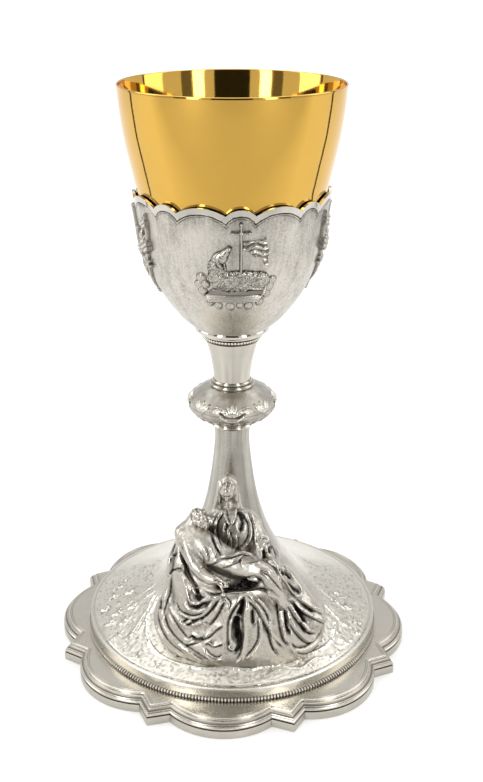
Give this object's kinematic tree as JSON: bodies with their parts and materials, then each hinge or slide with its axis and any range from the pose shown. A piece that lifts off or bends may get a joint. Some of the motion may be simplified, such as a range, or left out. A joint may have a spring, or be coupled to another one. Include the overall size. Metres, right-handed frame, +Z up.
{
  "type": "altar chalice",
  "caption": "Footed altar chalice: gilded cup in a scalloped calyx, ringed knop, flared stem with a figure group, and a lobed foot.",
  "frame": {"origin": "centre of the foot on the table, on the chalice's axis", "axes": "+Z up along the axis to the cup; -Y towards the figure group, which is the front; +X to the right seen from the front"},
  "size_m": [0.1718, 0.1718, 0.2701],
  "materials": {
    "polished_silver_plate": "silver-plated brass, polished, with fine hand-rubbed scratches",
    "oxidised_silver_plate": "silver-plated casting, burnished high points and dark oxidised recesses",
    "turned_brass": "plain turned brass, slightly dull",
    "gilding": "gilded and polished inside and out"
  },
  "bodies": {
    "root": {"foot_rim": "polished_silver_plate", "foot_moulding": "polished_silver_plate", "foot_plate": "polished_silver_plate", "drum_band": "polished_silver_plate", "milled_wire": "polished_silver_plate", "foot_dome": "polished_silver_plate", "stem_ring": "polished_silver_plate", "knop_lower": "polished_silver_plate", "knop_upper": "polished_silver_plate", "knop_ring_lower": "polished_silver_plate", "knop_ring_upper": "polished_silver_plate", "neck": "polished_silver_plate", "bead_ring": "polished_silver_plate", "calyx_collar": "polished_silver_plate", "calyx": "polished_silver_plate", "cup_boss": "polished_silver_plate", "figure_group": "oxidised_silver_plate", "relief_lamb": "oxidised_silver_plate", "relief_right": "oxidised_silver_plate", "relief_back": "oxidised_silver_plate", "relief_left": "oxidised_silver_plate", "figure_screws": "turned_brass", "tie_rod": "turned_brass", "clamp_washer": "turned_brass", "foot_nut": "turned_brass", "cup": "gilding"}
  },
  "joints": []
}
